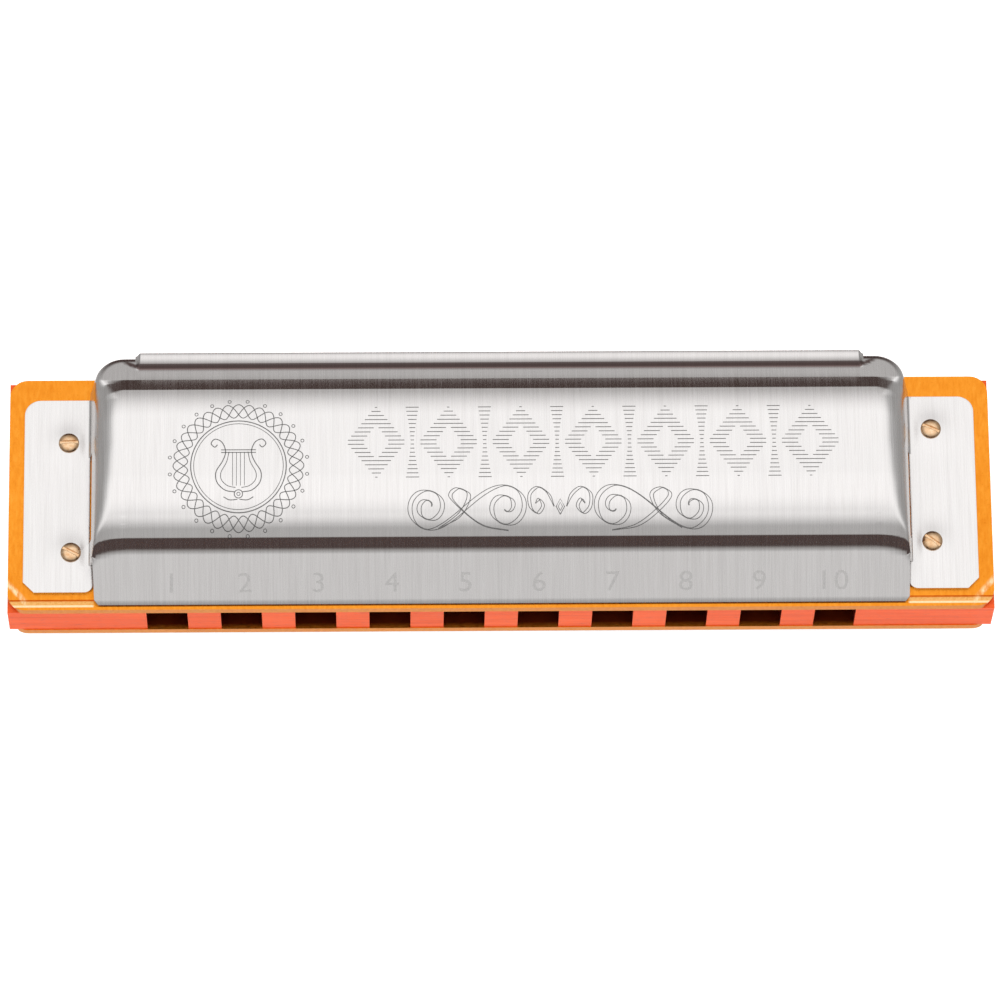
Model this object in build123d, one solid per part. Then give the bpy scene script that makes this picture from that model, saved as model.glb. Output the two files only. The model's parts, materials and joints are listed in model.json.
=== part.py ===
from build123d import *
import os
from math import cos, hypot, radians, tan

# Ten-hole diatonic harmonica in millimetres.
# +X runs from hole 1 to hole 10, +Y from the mouth to the back, +Z up.
# The origin is the centre of the bounding box's bottom face, where the lower cover rests.
# A wooden comb is sandwiched between two brass reed plates under two pressed steel covers.
# Each reed is a strip riveted at one end, whose tongue swings through a slot in its plate.

# ---- driving dimensions ----
hole_count = 10
hole_pitch = 7.5
chamber_width = 4.15
chamber_end_radius = 1.2
longest_chamber = 21.8
shortest_chamber = 16.4

comb_length = 99.6
comb_depth = 24.6
comb_thickness = 5.0
comb_recess = 0.1

plate_length = 99.5
plate_depth = 24.75
plate_thickness = 1.05
plate_corner_radius = 1.8
groove_start = 0.32
groove_width = 0.78
groove_depth = 0.25

cover_height = 6.25
cover_half_width = 41.2
cover_thickness = 0.4
end_wall_lean = 9.0
end_wall_start = 5.3
cover_rear = 25.6
cover_rear_radius = 3.0
lip_half_width = 36.9
lip_rear = 25.8
shelf_height = 4.62

tab_outer = 48.1
tab_front = 1.75
tab_rear = 22.4
tab_corner_radius = 1.6
tab_corner_cut = 1.1
tab_inner_radius = 0.9
tab_flange_gap = 0.15
vent_front = 7.0
vent_rear = 16.4
vent_height = 1.9
vent_reach = 0.45

screw_x = 43.6
screw_rows = (6.3, 18.1)
screw_head_radius = 1.03
screw_head_height = 0.62
screw_shank_radius = 0.6
screw_depth_in_comb = 2.1
screw_slot_width = 0.34
screw_slot_depth = 0.3
screw_slot_angles = (-28, 2, -24, -33)

pin_places = ((-30, 23.3), (-10, 23.3), (10, 23.3), (30, 23.3), (-22.5, 3.0), (0, 3.0), (22.5, 3.0))
pin_head_radius = 0.7
pin_head_height = 0.12
pin_shank_radius = 0.4
pin_depth_in_comb = 2.0

reed_thickness = 0.22
reed_pad_thickness = 0.3
reed_pad_length = 3.0
reed_pad_overhang = 0.35
widest_reed = 2.2
narrowest_reed = 1.8
longest_blow_reed = 14.6
shortest_blow_reed = 8.4
longest_draw_reed = 13.6
shortest_draw_reed = 8.0
reed_field_start = 5.5
reed_set_angle = 1.0
reed_side_clearance = 0.07
reed_tip_clearance = 0.1
flex_line_gap = 0.02

rivet_shank_radius = 0.6
rivet_head_radius = 0.9
rivet_head_height = 0.3
rivet_tail_radius = 0.8
rivet_tail_height = 0.2

hole_clearance = 0.02

# ---- places worked out from the dimensions ----
front = -lip_rear / 2
lower_plate_bottom = cover_height
comb_bottom = lower_plate_bottom + plate_thickness
comb_top = comb_bottom + comb_thickness
upper_plate_top = comb_top + plate_thickness
steps = hole_count - 1
hole_xs = [(i - steps / 2) * hole_pitch for i in range(hole_count)]


def graded(first, last, index):
    """A dimension that changes evenly from hole 1 to hole 10."""
    return first + (last - first) * index / steps


def block(x_range, y_range, z_range):
    """A box from its limits; y is measured back from the mouth."""
    (x0, x1), (y0, y1), (z0, z1) = x_range, y_range, z_range
    centre = Pos((x0 + x1) / 2, front + (y0 + y1) / 2, (z0 + z1) / 2)
    return centre * Box(x1 - x0, y1 - y0, z1 - z0)


def rounded_block(x_range, y_range, z_range, radius):
    """A box with rounded upright edges."""
    solid = block(x_range, y_range, z_range)
    return fillet(solid.edges().filter_by(Axis.Z), radius)


def upright_cylinder(x, from_mouth, z_range, radius):
    z0, z1 = z_range
    return Pos(x, front + from_mouth, (z0 + z1) / 2) * Cylinder(radius, z1 - z0)


def domed_head(x, from_mouth, base, height, radius):
    """A round head whose top is a slice of a sphere; a negative height hangs it below base."""
    size = abs(height)
    ball_radius = (radius**2 + size**2) / (2 * size)
    cap = Pos(0, 0, size - ball_radius) * Sphere(ball_radius) & Pos(0, 0, size / 2) * Cylinder(radius, size)
    turned = cap if height > 0 else Rot(0, 180, 0) * cap
    return Pos(x, front + from_mouth, base) * turned


def as_one(pieces):
    """Separate solids that share one node."""
    return Compound(children=list(pieces))


# ---- cover ----
# Corner points of the pressed section, (distance from the mouth, height above the plate),
# each inner corner with its outside bend radius. Inward bends are the hollow ones.
front_edge = (0.45, 0.16)
section_corners = [
    ((5.40, 3.02), 0.5, "hollow"),
    ((6.30, 4.97), 1.1, "round"),
    ((10.20, cover_height), 9.0, "round"),
    ((17.80, cover_height), 14.0, "round"),
    ((21.55, 5.62), 0.9, "round"),
    ((22.62, 4.70), 0.5, "hollow"),
]
lip_corners = [
    ((24.30, shelf_height), 0.3, "hollow"),
    ((24.66, 5.20), 0.48, "round"),
    ((25.42, 5.20), 0.48, "round"),
]
lip_end = (lip_rear, 4.72)
shelf_end = ((cover_rear, shelf_height - 0.02), 0.6, "round")
wall_foot = (cover_rear, 0.0)


def inset_points(points, distance):
    """Moves an open run of points sideways by distance, towards the inside of the cover."""
    lines = []
    for (y0, z0), (y1, z1) in zip(points, points[1:]):
        length = hypot(y1 - y0, z1 - z0)
        dy, dz = (y1 - y0) / length, (z1 - z0) / length
        lines.append(((y0 + dz * distance, z0 - dy * distance), (dy, dz), length))
    moved = [lines[0][0]]
    for (start, along, _), (other, across, _) in zip(lines, lines[1:]):
        cross = along[0] * across[1] - along[1] * across[0]
        reach = ((other[0] - start[0]) * across[1] - (other[1] - start[1]) * across[0]) / cross
        moved.append((start[0] + along[0] * reach, start[1] + along[1] * reach))
    (last, along, length) = lines[-1]
    moved.append((last[0] + along[0] * length, last[1] + along[1] * length))
    return moved


def section_path(start, corners, end, inset=0.0):
    """The cover's outer line, or the line a sheet thickness inside it, as one filleted wire."""
    points = inset_points([start, *[c[0] for c in corners], end], inset)
    radii = [r + inset if kind == "hollow" else r - inset for _, r, kind in corners]
    on_plane = [Vector(0, front + y, z) for y, z in points]
    return FilletPolyline(*on_plane, radius=radii)


def sheet_strip(x_range, corners, end):
    """The pressed sheet between two x limits."""
    outer = section_path(front_edge, corners, end)
    inner = section_path(front_edge, corners, end, cover_thickness)
    mouth_cap = Line(outer @ 0, inner @ 0)
    rear_cap = Line(outer @ 1, inner @ 1)
    face = make_face([*outer.edges(), *inner.edges(), mouth_cap, rear_cap])
    return Pos(x_range[0], 0, 0) * extrude(face, x_range[1] - x_range[0], dir=(1, 0, 0))


def end_limits(inset):
    """A prism whose leaning ends are the cover's end walls, with rounded back corners."""
    half = cover_half_width - inset / cos(radians(end_wall_lean))
    low, high = -1, cover_height + 1
    lean = tan(radians(end_wall_lean))
    right = [(half - lean * z, front, z) for z in (low, high)]
    left = [(-x, y, z) for x, y, z in reversed(right)]
    face = make_face(Polyline(*right, *left, close=True))
    prism = extrude(face, cover_rear - inset, dir=(0, 1, 0))
    back_edges = prism.edges().group_by(Axis.Y)[-1].filter_by(lambda edge: abs((edge % 0.5).X) < 0.5)
    return fillet(back_edges, cover_rear_radius - inset)


def under_section(inset, floor):
    """The volume under the pressed section, with its rounded back corners and closed ends."""
    corners = [*section_corners, shelf_end]
    path = section_path(front_edge, corners, wall_foot, inset)
    start, stop = path @ 0, path @ 1
    low_front = Vector(0, start.Y, floor)
    low_back = Vector(0, stop.Y, floor)
    edges = [*path.edges(), Line(start, low_front), Line(low_front, low_back)]
    if abs(stop.Z - floor) > 1e-6:
        edges.append(Line(low_back, stop))
    half = cover_half_width + 1
    body = Pos(-half, 0, 0) * extrude(make_face(edges), 2 * half, dir=(1, 0, 0))
    return body & end_limits(inset)


def cover_end(side):
    """One closed end of the shell, from the end of the lip to the end wall."""
    shell = under_section(0.0, 0.0) - under_section(cover_thickness, -1.0)
    limits = sorted((side * lip_half_width, side * (cover_half_width + 1)))
    return shell & block(limits, (end_wall_start, cover_rear + 1), (-1, cover_height + 1))


def tab(side):
    """The flat flange outside an end wall that the cover screws hold down."""

    def uprights(solid):
        return solid.edges().filter_by(Axis.Z).sort_by(Axis.X, reverse=side < 0)

    free_edge = cover_half_width + tab_flange_gap
    z_range = (0, cover_thickness)
    flat = block(sorted((side * free_edge, side * tab_outer)), (tab_front, tab_rear), z_range)
    flat = fillet(uprights(flat)[:2].sort_by(Axis.Y)[0], tab_inner_radius)
    flat = fillet(uprights(flat)[-2:].sort_by(Axis.Y)[-1], tab_corner_radius)
    flat = chamfer(uprights(flat)[-2:].sort_by(Axis.Y)[0], tab_corner_cut)
    root_limits = sorted((side * (cover_half_width - cover_thickness), side * (free_edge + 0.1)))
    return flat + block(root_limits, (end_wall_start, tab_rear), z_range)


def vent(side):
    """The slot cut where the tab bends up into the end wall, which lets sound out sideways."""
    limits = sorted((side * (cover_half_width - 1), side * (cover_half_width + vent_reach)))
    return block(limits, (vent_front, vent_rear), (-0.5, vent_height))


def make_cover():
    """A cover in its own place: its tabs lie on z = 0 and its crown is at cover_height."""
    shell = sheet_strip((-lip_half_width, lip_half_width), [*section_corners, *lip_corners], lip_end)
    flange = sheet_strip((-cover_half_width, cover_half_width), [*section_corners, lip_corners[0]], (25.0, shelf_height))
    shell = shell + (flange & block((-50, 50), (0, end_wall_start), (-1, cover_height)))
    for side in (-1, 1):
        shell = shell + cover_end(side) + tab(side)
    for side in (-1, 1):
        shell = shell - vent(side)
        for row in screw_rows:
            bore = screw_shank_radius + hole_clearance
            shell = shell - upright_cylinder(side * screw_x, row, (-1, 1), bore)
    return shell


def on_top(shape):
    return Pos(0, 0, upper_plate_top) * shape


def underneath(shape):
    """Turns a part end for end about the Y axis, so that its mouth side stays at the mouth."""
    return Pos(0, 0, lower_plate_bottom) * Rot(0, 180, 0) * shape


# ---- fasteners, in the cover's own place ----
def cover_screw(x, from_mouth, slot_angle):
    """A slotted round-head wood screw with a pointed end."""
    base = cover_thickness
    point = 0.8
    shank_end = -plate_thickness - screw_depth_in_comb
    head = domed_head(x, from_mouth, base, screw_head_height, screw_head_radius)
    slot_place = Pos(x, front + from_mouth, base + screw_head_height) * Rot(0, 0, slot_angle)
    head = head - slot_place * Box(4 * screw_head_radius, screw_slot_width, 2 * screw_slot_depth)
    shank = upright_cylinder(x, from_mouth, (shank_end + point, base), screw_shank_radius)
    tip_place = Pos(x, front + from_mouth, shank_end + point / 2)
    tip = tip_place * Cone(0.1, screw_shank_radius, point)
    return head + shank + tip


def plate_pin(x, from_mouth):
    """A small round-head pin that nails the reed plate to the comb."""
    head = domed_head(x, from_mouth, 0, pin_head_height, pin_head_radius)
    depth = plate_thickness + pin_depth_in_comb
    return head + upright_cylinder(x, from_mouth, (-depth, 0), pin_shank_radius)


# ---- reeds: all hang from the underside of their plate ----
def reed_facts(kind, index):
    """(x, width, tongue length, root and tip distances from the mouth, pad side) of one reed."""
    x = hole_xs[index]
    width = graded(widest_reed, narrowest_reed, index)
    if kind == "blow":
        length = graded(longest_blow_reed, shortest_blow_reed, index)
        root = reed_field_start
        return x, width, length, root, root + length, -1
    length = graded(longest_draw_reed, shortest_draw_reed, index)
    root = reed_field_start + length
    return x, width, length, root, reed_field_start, 1


def plate_underside(kind):
    return comb_top if kind == "blow" else lower_plate_bottom


def reed_tongue(kind, index):
    """The free part of a reed, which stands a little away from its slot at the tip."""
    x, width, length, root, _, pad_side = reed_facts(kind, index)
    flat = Pos(0, -pad_side * length / 2, -reed_thickness / 2) * Box(width, length, reed_thickness)
    set_down = Rot(pad_side * reed_set_angle, 0, 0) * flat
    return Pos(x, front + root, plate_underside(kind)) * set_down


def pad_limits(kind, index):
    x, width, _, root, _, pad_side = reed_facts(kind, index)
    near = root + pad_side * flex_line_gap
    far = root + pad_side * reed_pad_length
    half = width / 2 + reed_pad_overhang
    return (x - half, x + half), sorted((near, far))


def rivet_place(kind, index):
    x, _, _, root, _, pad_side = reed_facts(kind, index)
    return x, root + pad_side * reed_pad_length / 2


def reed_pad(kind, index):
    """The fixed end of a reed, clamped to the plate by its rivet."""
    top = plate_underside(kind)
    x_range, y_range = pad_limits(kind, index)
    pad = block(x_range, y_range, (top - reed_pad_thickness, top))
    x, y = rivet_place(kind, index)
    return pad - upright_cylinder(x, y, (top - 1, top + 1), rivet_shank_radius + hole_clearance)


def reed_rivet(kind, index):
    x, y = rivet_place(kind, index)
    top = plate_underside(kind)
    pad_face = top - reed_pad_thickness
    plate_face = top + plate_thickness
    shank = upright_cylinder(x, y, (pad_face, plate_face), rivet_shank_radius)
    head = domed_head(x, y, pad_face, -rivet_head_height, rivet_head_radius)
    tail = domed_head(x, y, plate_face, rivet_tail_height, rivet_tail_radius)
    return shank + head + tail


# ---- reed plates ----
def reed_slot(kind, index, z_range):
    x, width, _, root, tip, pad_side = reed_facts(kind, index)
    half = width / 2 + reed_side_clearance
    clear_tip = tip - pad_side * reed_tip_clearance
    return block((x - half, x + half), sorted((root, clear_tip)), z_range)


def reed_plate(kind):
    bottom = plate_underside(kind)
    top = bottom + plate_thickness
    half = plate_length / 2
    plate = rounded_block((-half, half), (0, plate_depth), (bottom, top), plate_corner_radius)
    outside = top if kind == "blow" else bottom
    groove_z = (outside - groove_depth, outside + groove_depth)
    plate = plate - block((-half - 1, half + 1), (groove_start, groove_start + groove_width), groove_z)
    through = (bottom - 1, top + 1)
    for index in range(hole_count):
        x, y = rivet_place(kind, index)
        plate = plate - reed_slot(kind, index, through)
        plate = plate - upright_cylinder(x, y, through, rivet_shank_radius + hole_clearance)
    for x, y in pin_places:
        plate = plate - upright_cylinder(x, y, through, pin_shank_radius + hole_clearance)
    for side in (-1, 1):
        for row in screw_rows:
            bore = screw_shank_radius + hole_clearance
            plate = plate - upright_cylinder(side * screw_x, row, through, bore)
    return plate


# ---- comb ----
def chamber(index):
    """An air channel, open at the mouth and through the comb's thickness."""
    x = hole_xs[index]
    depth = graded(longest_chamber, shortest_chamber, index)
    half = chamber_width / 2
    cut = block((x - half, x + half), (-1, depth), (comb_bottom - 1, comb_top + 1))
    closed_edges = cut.edges().filter_by(Axis.Z).group_by(Axis.Y)[-1]
    return fillet(closed_edges, chamber_end_radius)


def make_comb():
    half = comb_length / 2
    body = block((-half, half), (comb_recess, comb_recess + comb_depth), (comb_bottom, comb_top))
    through = (comb_bottom - 1, comb_top + 1)
    for index in range(hole_count):
        body = body - chamber(index)
    for x, y in pin_places:
        body = body - upright_cylinder(x, y, through, pin_shank_radius + hole_clearance)
    for side in (-1, 1):
        for row in screw_rows:
            bore = screw_shank_radius + hole_clearance
            body = body - upright_cylinder(side * screw_x, row, through, bore)
    return body


# ---- the named nodes ----
nodes = {
    "comb": make_comb(),
    "upper_reed_plate": reed_plate("blow"),
    "lower_reed_plate": reed_plate("draw"),
}
cover = make_cover()
nodes["upper_cover"] = on_top(cover)
nodes["lower_cover"] = underneath(cover)

screw_spots = [(side * screw_x, row) for side in (-1, 1) for row in screw_rows]
screw_names = ("front_left", "rear_left", "front_right", "rear_right")
for name, (x, row), angle in zip(screw_names, screw_spots, screw_slot_angles):
    nodes[f"upper_cover_screw_{name}"] = on_top(cover_screw(x, row, angle))
    nodes[f"lower_cover_screw_{name}"] = underneath(cover_screw(-x, row, angle))

nodes["upper_plate_pins"] = as_one(on_top(plate_pin(x, y)) for x, y in pin_places)
nodes["lower_plate_pins"] = as_one(underneath(plate_pin(-x, y)) for x, y in pin_places)

for kind in ("blow", "draw"):
    for index in range(hole_count):
        nodes[f"{kind}_reed_{index + 1}"] = reed_tongue(kind, index)
    nodes[f"{kind}_reed_pads"] = as_one(reed_pad(kind, i) for i in range(hole_count))
    nodes[f"{kind}_reed_rivets"] = as_one(reed_rivet(kind, i) for i in range(hole_count))

os.makedirs("parts", exist_ok=True)
for name, shape in nodes.items():
    export_step(shape, f"parts/{name}.step")
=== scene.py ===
import json
from math import cos, hypot, pi, radians, sin, sqrt, tan

import bmesh
import bpy
import numpy as np
from mathutils import Matrix, Vector


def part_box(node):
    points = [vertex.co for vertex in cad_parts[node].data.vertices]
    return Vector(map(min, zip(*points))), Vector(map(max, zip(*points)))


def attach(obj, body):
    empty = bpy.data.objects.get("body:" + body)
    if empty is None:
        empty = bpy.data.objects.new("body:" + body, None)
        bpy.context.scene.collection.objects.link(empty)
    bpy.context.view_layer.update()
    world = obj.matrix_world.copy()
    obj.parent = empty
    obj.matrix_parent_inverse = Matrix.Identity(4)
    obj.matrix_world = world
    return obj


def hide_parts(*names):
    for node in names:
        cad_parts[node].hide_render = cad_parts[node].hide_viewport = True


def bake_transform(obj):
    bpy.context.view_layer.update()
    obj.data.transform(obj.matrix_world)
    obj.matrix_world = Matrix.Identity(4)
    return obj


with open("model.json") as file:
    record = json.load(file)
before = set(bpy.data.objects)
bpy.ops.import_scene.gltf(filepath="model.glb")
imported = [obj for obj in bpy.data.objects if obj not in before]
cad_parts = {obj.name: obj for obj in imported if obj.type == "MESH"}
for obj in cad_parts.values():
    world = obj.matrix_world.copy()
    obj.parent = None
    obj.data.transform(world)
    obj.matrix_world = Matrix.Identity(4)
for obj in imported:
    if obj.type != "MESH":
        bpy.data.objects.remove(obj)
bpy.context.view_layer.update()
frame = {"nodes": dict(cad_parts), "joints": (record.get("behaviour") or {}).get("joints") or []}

# The part's own sizes are in millimetres and become metres by MM. Bumps, floor and lights are in metres.
MM = 0.001
NEAR = 1e-6
NODES = frame["nodes"]
MOUTH_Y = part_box("upper_reed_plate")[0].y / MM
UPPER_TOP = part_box("upper_reed_plate")[1].z / MM
LOWER_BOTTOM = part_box("lower_reed_plate")[0].z / MM
COMB_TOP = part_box("comb")[1].z / MM
PLATE_THICK = UPPER_TOP - COMB_TOP
EDGE_X = 41.15  # where the covers' front edge ends
CHANNELS_X, CHANNELS_REAR = 36.5, 9.6  # beyond the comb's last channels, in X and in Y
NUMBER_PITCH, NUMBER_SHIFT = 7.4, 0.07
NUMBER_SIZE, NUMBER_STRETCH = 2.85, 1.1
NUMBER_UP, NUMBER_SUNK = 0.62, 0.012  # how far up the flange they stand, and how deep under its skin


# ---------------------------------------------------------------- materials
WHITE = (1.0, 1.0, 1.0)


def new_material(name):
    material = bpy.data.materials.new(name)
    material.use_nodes = True
    tree = material.node_tree
    return material, tree, tree.nodes["Principled BSDF"]


def stretched_coordinates(tree, scale):
    """Object coordinates, in cells of the given number per metre along X, Y and Z."""
    where = tree.nodes.new("ShaderNodeTexCoord")
    mapping = tree.nodes.new("ShaderNodeMapping")
    mapping.inputs["Scale"].default_value = scale
    tree.links.new(where.outputs["Object"], mapping.inputs["Vector"])
    return mapping.outputs["Vector"]


def noise(tree, vector, detail=3.0, roughness=0.55, distortion=0.0):
    node = tree.nodes.new("ShaderNodeTexNoise")
    node.inputs["Scale"].default_value = 1.0
    node.inputs["Detail"].default_value = detail
    node.inputs["Roughness"].default_value = roughness
    node.inputs["Distortion"].default_value = distortion
    tree.links.new(vector, node.inputs["Vector"])
    return node.outputs["Fac"]


def ramp(tree, value, stops):
    """A color that changes with a value; stops are (place, color)."""
    node = tree.nodes.new("ShaderNodeValToRGB")
    elements = node.color_ramp.elements
    while len(elements) < len(stops):
        elements.new(0.5)
    for element, (place, color) in zip(elements, stops):
        element.position = place
        element.color = (*color, 1.0)
    tree.links.new(value, node.inputs["Fac"])
    return node.outputs["Color"]


def spread(tree, value, low, high, from_low=0.3, from_high=0.7):
    """A value brought from one range, by default that of a noise, to another."""
    node = tree.nodes.new("ShaderNodeMapRange")
    node.inputs["From Min"].default_value = from_low
    node.inputs["From Max"].default_value = from_high
    node.inputs["To Min"].default_value = low
    node.inputs["To Max"].default_value = high
    tree.links.new(value, node.inputs["Value"])
    return node.outputs["Result"]


def rising(tree, value, start, end):
    """A mask that goes from 0 at start to 1 at end."""
    return spread(tree, value, 0.0, 1.0, start, end)


def falling(tree, value, start, end):
    """A mask that goes from 1 at start to 0 at end."""
    return spread(tree, value, 1.0, 0.0, start, end)


def calc(tree, operation, *values):
    """A math node fed with sockets or plain numbers."""
    node = tree.nodes.new("ShaderNodeMath")
    node.operation = operation
    for socket, value in zip(node.inputs, values):
        if isinstance(value, (int, float)):
            socket.default_value = value
        else:
            tree.links.new(value, socket)
    return node.outputs[0]


def place_in(tree, kind="Object"):
    """X, Y and Z of a point, and its distance from the middle plane."""
    where = tree.nodes.new("ShaderNodeTexCoord")
    split = tree.nodes.new("ShaderNodeSeparateXYZ")
    tree.links.new(where.outputs[kind], split.inputs["Vector"])
    x, y, z = split.outputs
    return x, y, z, calc(tree, "ABSOLUTE", x)


def mixed(tree, factor, a, b, mode="MIX"):
    node = tree.nodes.new("ShaderNodeMix")
    node.data_type = "RGBA"
    node.blend_type = mode
    if isinstance(factor, float):
        node.inputs["Factor"].default_value = factor
    else:
        tree.links.new(factor, node.inputs["Factor"])
    tree.links.new(a, node.inputs["A"])
    tree.links.new(b, node.inputs["B"])
    return node.outputs["Result"]


def bumped(tree, shader, height, distance, strength=1.0):
    node = tree.nodes.new("ShaderNodeBump")
    node.inputs["Strength"].default_value = strength
    node.inputs["Distance"].default_value = distance
    tree.links.new(height, node.inputs["Height"])
    tree.links.new(node.outputs["Normal"], shader.inputs["Normal"])


def brushed_steel():
    """Sheet steel brushed from the mouth to the back, with streaks of several widths, and painted shade and
    dark reflection in the crease before the rolled lip.
    """
    material, tree, shader = new_material("brushed_cover_steel")
    fine = noise(tree, stretched_coordinates(tree, (9000, 170, 170)), 4.0, 0.6)
    broad = noise(tree, stretched_coordinates(tree, (1700, 45, 45)), 3.0, 0.55)
    cloud = noise(tree, stretched_coordinates(tree, (90, 60, 60)), 2.0, 0.5)
    steel_tones = [(0.30, (0.70, 0.68, 0.67)), (0.5, (0.765, 0.745, 0.735)), (0.72, (0.83, 0.81, 0.80))]
    streaks = ramp(tree, fine, steel_tones)
    bands = ramp(tree, broad, [(0.32, (0.965, 0.965, 0.965)), (0.6, WHITE)])
    color = mixed(tree, 1.0, streaks, bands, "MULTIPLY")
    tint = ramp(tree, cloud, [(0.35, (0.985, 0.985, 0.985)), (0.65, WHITE)])
    color = mixed(tree, 1.0, color, tint, "MULTIPLY")
    # painted shade: the crease attribute darkens the steel where shade and dark reflection fall in the crease
    # before the rolled lip
    painted_crease_shade = tree.nodes.new("ShaderNodeAttribute")
    painted_crease_shade.attribute_name = "painted_crease_shade"
    painted_shade = ramp(tree, painted_crease_shade.outputs["Fac"], [(0.0, WHITE), (1.0, (0.20, 0.145, 0.14))])
    color = mixed(tree, 1.0, color, painted_shade, "MULTIPLY")
    tree.links.new(color, shader.inputs["Base Color"])
    tree.links.new(spread(tree, fine, 0.21, 0.31), shader.inputs["Roughness"])
    shader.inputs["Metallic"].default_value = 1.0
    shader.inputs["Anisotropic"].default_value = 0.55
    tangent = tree.nodes.new("ShaderNodeTangent")
    tangent.direction_type = "UV_MAP"
    tangent.uv_map = "along"
    tree.links.new(tangent.outputs["Tangent"], shader.inputs["Tangent"])
    bumped(tree, shader, fine, 0.000004, 0.6)
    return material


def engraved_steel(name, dark, light):
    """The bottom of an engraved or stamped line: dull, and broken up along its length."""
    material, tree, shader = new_material(name)
    grain = noise(tree, stretched_coordinates(tree, (5200, 5200, 5200)), 3.0, 0.6)
    color = ramp(tree, grain, [(0.35, dark), (0.65, light)])
    tree.links.new(color, shader.inputs["Base Color"])
    tree.links.new(spread(tree, grain, 0.42, 0.6), shader.inputs["Roughness"])
    shader.inputs["Metallic"].default_value = 1.0
    bumped(tree, shader, grain, 0.000008)
    return material


def plate_brass():
    """Satin rolled brass, worn at its corners and in its groove, with a painted highlight along the groove by
    the mouth and painted shade on its inner face.
    """
    material, tree, shader = new_material("rolled_plate_brass")
    rolled = noise(tree, stretched_coordinates(tree, (2600, 700, 1500)), 4.0, 0.66)
    specks = noise(tree, stretched_coordinates(tree, (3600, 3600, 3600)), 3.0, 0.7)
    cloud = noise(tree, stretched_coordinates(tree, (110, 110, 110)), 3.0, 0.55)
    brass_tones = [(0.30, (0.84, 0.265, 0.018)), (0.52, (0.92, 0.325, 0.028)), (0.74, (0.97, 0.385, 0.045))]
    base = ramp(tree, rolled, brass_tones)
    tone = ramp(tree, cloud, [(0.32, (0.95, 0.91, 0.82)), (0.66, WHITE)])
    pits = ramp(tree, specks, [(0.30, (0.84, 0.74, 0.60)), (0.42, WHITE)])
    color = mixed(tree, 1.0, mixed(tree, 1.0, base, tone, "MULTIPLY"), pits, "MULTIPLY")
    worn = ramp(tree, specks, [(0.35, (0.74, 0.36, 0.09)), (0.6, (0.90, 0.50, 0.17))])
    # pale brass: the groove strip below uses it as a painted highlight, the corner streak as rub wear
    rubbed_and_highlight = ramp(tree, specks, [(0.35, (0.98, 0.68, 0.36)), (0.6, (1.0, 0.80, 0.50))])
    # dark red-brown for the painted shade on the plates' inner faces
    painted_shade = ramp(tree, cloud, [(0.3, (0.27, 0.032, 0.006)), (0.7, (0.40, 0.07, 0.012))])
    _, y, z, aside = place_in(tree)

    # how far a point lies from the middle between the two plates' outer faces
    middle, half = (UPPER_TOP + LOWER_BOTTOM) / 2, (UPPER_TOP - LOWER_BOTTOM) / 2
    apart = calc(tree, "ABSOLUTE", calc(tree, "SUBTRACT", z, middle * MM))
    inner_face = falling(tree, apart, (half - PLATE_THICK + 0.03) * MM, (half - PLATE_THICK + 0.07) * MM)
    behind_edge = rising(tree, y, (MOUTH_Y + 0.2) * MM, (MOUTH_Y + 0.6) * MM)
    # painted shade: the inner faces behind the mouth edge are darkened as if lying in the shade of the
    # chambers
    color = mixed(tree, calc(tree, "MULTIPLY", inner_face, behind_edge), color, painted_shade)

    # the groove beyond the cover's ends: a worn strip, and nearer to the mouth a pale strip that is a painted
    # highlight along the groove's front lip
    outside_cover = rising(tree, aside, (EDGE_X - 0.15) * MM, (EDGE_X + 0.05) * MM)
    outer_face = rising(tree, apart, (half - 0.34) * MM, (half - 0.28) * MM)
    exposed = calc(tree, "MULTIPLY", outside_cover, outer_face)
    for low, high, metal in ((0.68, 1.0, worn), (0.32, 0.58, rubbed_and_highlight)):
        ahead = falling(tree, y, (MOUTH_Y + high) * MM, (MOUTH_Y + high + 0.06) * MM)
        behind = rising(tree, y, (MOUTH_Y + low - 0.05) * MM, (MOUTH_Y + low) * MM)
        strip = calc(tree, "MULTIPLY", calc(tree, "MULTIPLY", ahead, behind), exposed)
        color = mixed(tree, strip, color, metal)

    # a streak across each front corner
    slope, corner_x, corner_y = 1.13, 48, 0.9
    slant = calc(tree, "MULTIPLY_ADD", aside, -slope, y)
    line = MOUTH_Y + corner_y - slope * corner_x
    near_side = rising(tree, slant, (line - 0.5) * MM, (line - 0.2) * MM)
    far_side = falling(tree, slant, (line + 0.1) * MM, (line + 0.6) * MM)
    streak = calc(tree, "MULTIPLY", near_side, far_side)
    streak = calc(tree, "MULTIPLY", streak, rising(tree, aside, 47.4 * MM, 48.2 * MM))
    streak = calc(tree, "MULTIPLY", streak, spread(tree, rolled, 0.1, 0.9, 0.4, 0.6))
    color = mixed(tree, streak, color, rubbed_and_highlight)
    tree.links.new(color, shader.inputs["Base Color"])
    tree.links.new(spread(tree, specks, 0.30, 0.44), shader.inputs["Roughness"])
    shader.inputs["Metallic"].default_value = 1.0
    bumped(tree, shader, specks, 0.000006, 0.7)
    return material


def fitting_brass(name, base, bright, roughness, streaks=(2500, 2500, 2500)):
    """Small turned or filed brass parts."""
    material, tree, shader = new_material(name)
    grain = noise(tree, stretched_coordinates(tree, streaks), 3.0, 0.6)
    cloud = noise(tree, stretched_coordinates(tree, (700, 700, 700)), 2.0, 0.5)
    color = ramp(tree, grain, [(0.32, base), (0.66, bright)])
    tone = ramp(tree, cloud, [(0.3, (0.88, 0.82, 0.74)), (0.62, WHITE)])
    tree.links.new(mixed(tree, 1.0, color, tone, "MULTIPLY"), shader.inputs["Base Color"])
    tree.links.new(spread(tree, grain, roughness - 0.04, roughness + 0.08), shader.inputs["Roughness"])
    shader.inputs["Metallic"].default_value = 1.0
    bumped(tree, shader, grain, 0.000005, 0.5)
    return material


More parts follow.
